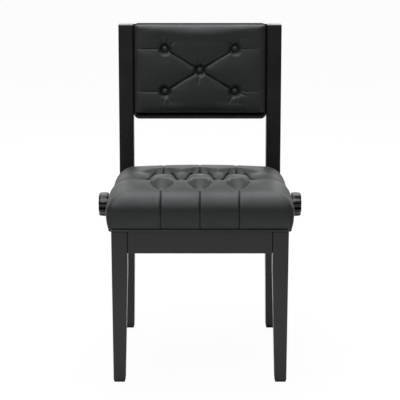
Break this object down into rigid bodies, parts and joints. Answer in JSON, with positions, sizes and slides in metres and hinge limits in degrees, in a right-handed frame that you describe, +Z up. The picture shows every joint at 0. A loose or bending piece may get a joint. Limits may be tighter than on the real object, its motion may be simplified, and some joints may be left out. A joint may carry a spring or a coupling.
{
  "type": "piano chair",
  "caption": "Black wooden piano chair with a tufted back pad and a tufted seat that side knobs raise on a spindle-driven scissor lift.",
  "frame": {"origin": "on the floor under the middle of the chair's overall box", "axes": "+X to the viewer's right when the chair is seen from its front, +Y towards the back rest, +Z up"},
  "size_m": [0.53, 0.4734, 0.8696],
  "materials": {
    "black_wood": "satin",
    "raw_wood": "matte",
    "leatherette": "satin",
    "steel": "satin",
    "knob_plastic": "gloss",
    "glide_plastic": "matte"
  },
  "bodies": {
    "frame": {"front_leg_left": "black_wood", "front_leg_right": "black_wood", "back_post_left": "black_wood", "back_post_right": "black_wood", "front_apron": "black_wood", "back_apron": "black_wood", "side_apron_left": "black_wood", "side_apron_right": "black_wood", "corner_block_front_left": "raw_wood", "corner_block_front_right": "raw_wood", "corner_block_back_left": "raw_wood", "corner_block_back_right": "raw_wood", "leg_bolt_front_left": "steel", "leg_bolt_front_right": "steel", "leg_bolt_back_left": "steel", "leg_bolt_back_right": "steel", "foot_glide_front_left": "glide_plastic", "foot_glide_front_right": "glide_plastic", "foot_glide_back_left": "glide_plastic", "foot_glide_back_right": "glide_plastic", "back_panel": "leatherette", "back_cushion": "leatherette", "back_button_1": "leatherette", "back_button_2": "leatherette", "back_button_3": "leatherette", "back_button_4": "leatherette", "back_button_5": "leatherette", "lower_rail_front": "steel", "lower_rail_back": "steel", "lower_pivot_rod": "steel"},
    "seat": {"seat_board": "raw_wood", "seat_box_front": "black_wood", "seat_box_back": "black_wood", "seat_box_left": "black_wood", "seat_box_right": "black_wood", "seat_cushion": "leatherette", "seat_button_1": "leatherette", "seat_button_2": "leatherette", "seat_button_3": "leatherette", "seat_button_4": "leatherette", "seat_button_5": "leatherette", "seat_button_6": "leatherette", "seat_button_7": "leatherette", "seat_button_8": "leatherette", "seat_button_9": "leatherette", "seat_button_10": "leatherette", "upper_rail_front": "steel", "upper_rail_back": "steel", "bearing_plate_left": "steel", "bearing_plate_right": "steel"},
    "drive_arms": {"drive_arm_front": "steel", "drive_arm_back": "steel"},
    "follow_arms": {"follow_arm_front": "steel", "follow_arm_back": "steel", "slide_rod": "steel"},
    "nut": {"nut_bar": "steel"},
    "spindle": {"spindle": "steel", "knob_left": "knob_plastic", "knob_right": "knob_plastic"}
  },
  "joints": [
    {"name": "seat_lift", "type": "slide", "parent": "frame", "child": "seat", "axis": [0, 0, 1], "range_m": [0, 0.085]},
    {"name": "drive_arm_swing", "type": "hinge", "parent": "frame", "child": "drive_arms", "pos_m": [-0.1483, -0.03677, 0.3795], "axis": [0, -1, 0], "range_deg": [0, 17.07]},
    {"name": "follow_arm_swing", "type": "hinge", "parent": "seat", "child": "follow_arms", "pos_m": [-0.1483, -0.03677, 0.4245], "axis": [0, 1, 0], "range_deg": [0, 17.07]},
    {"name": "nut_travel", "type": "slide", "parent": "seat", "child": "nut", "axis": [-1, 0, 0], "range_m": [0, 0.02629]},
    {"name": "knob_turn", "type": "hinge", "parent": "seat", "child": "spindle", "pos_m": [0, -0.03677, 0.4245], "axis": [1, 0, 0], "range_deg": [0, 3150.3]}
  ],
  "couplings": [
    {"joint": "drive_arm_swing", "follows": "seat_lift", "rad_per_m": 3.5014},
    {"joint": "follow_arm_swing", "follows": "seat_lift", "rad_per_m": 3.5014},
    {"joint": "nut_travel", "follows": "seat_lift", "ratio": 0.30866},
    {"joint": "knob_turn", "follows": "seat_lift", "rad_per_m": 646.45}
  ]
}
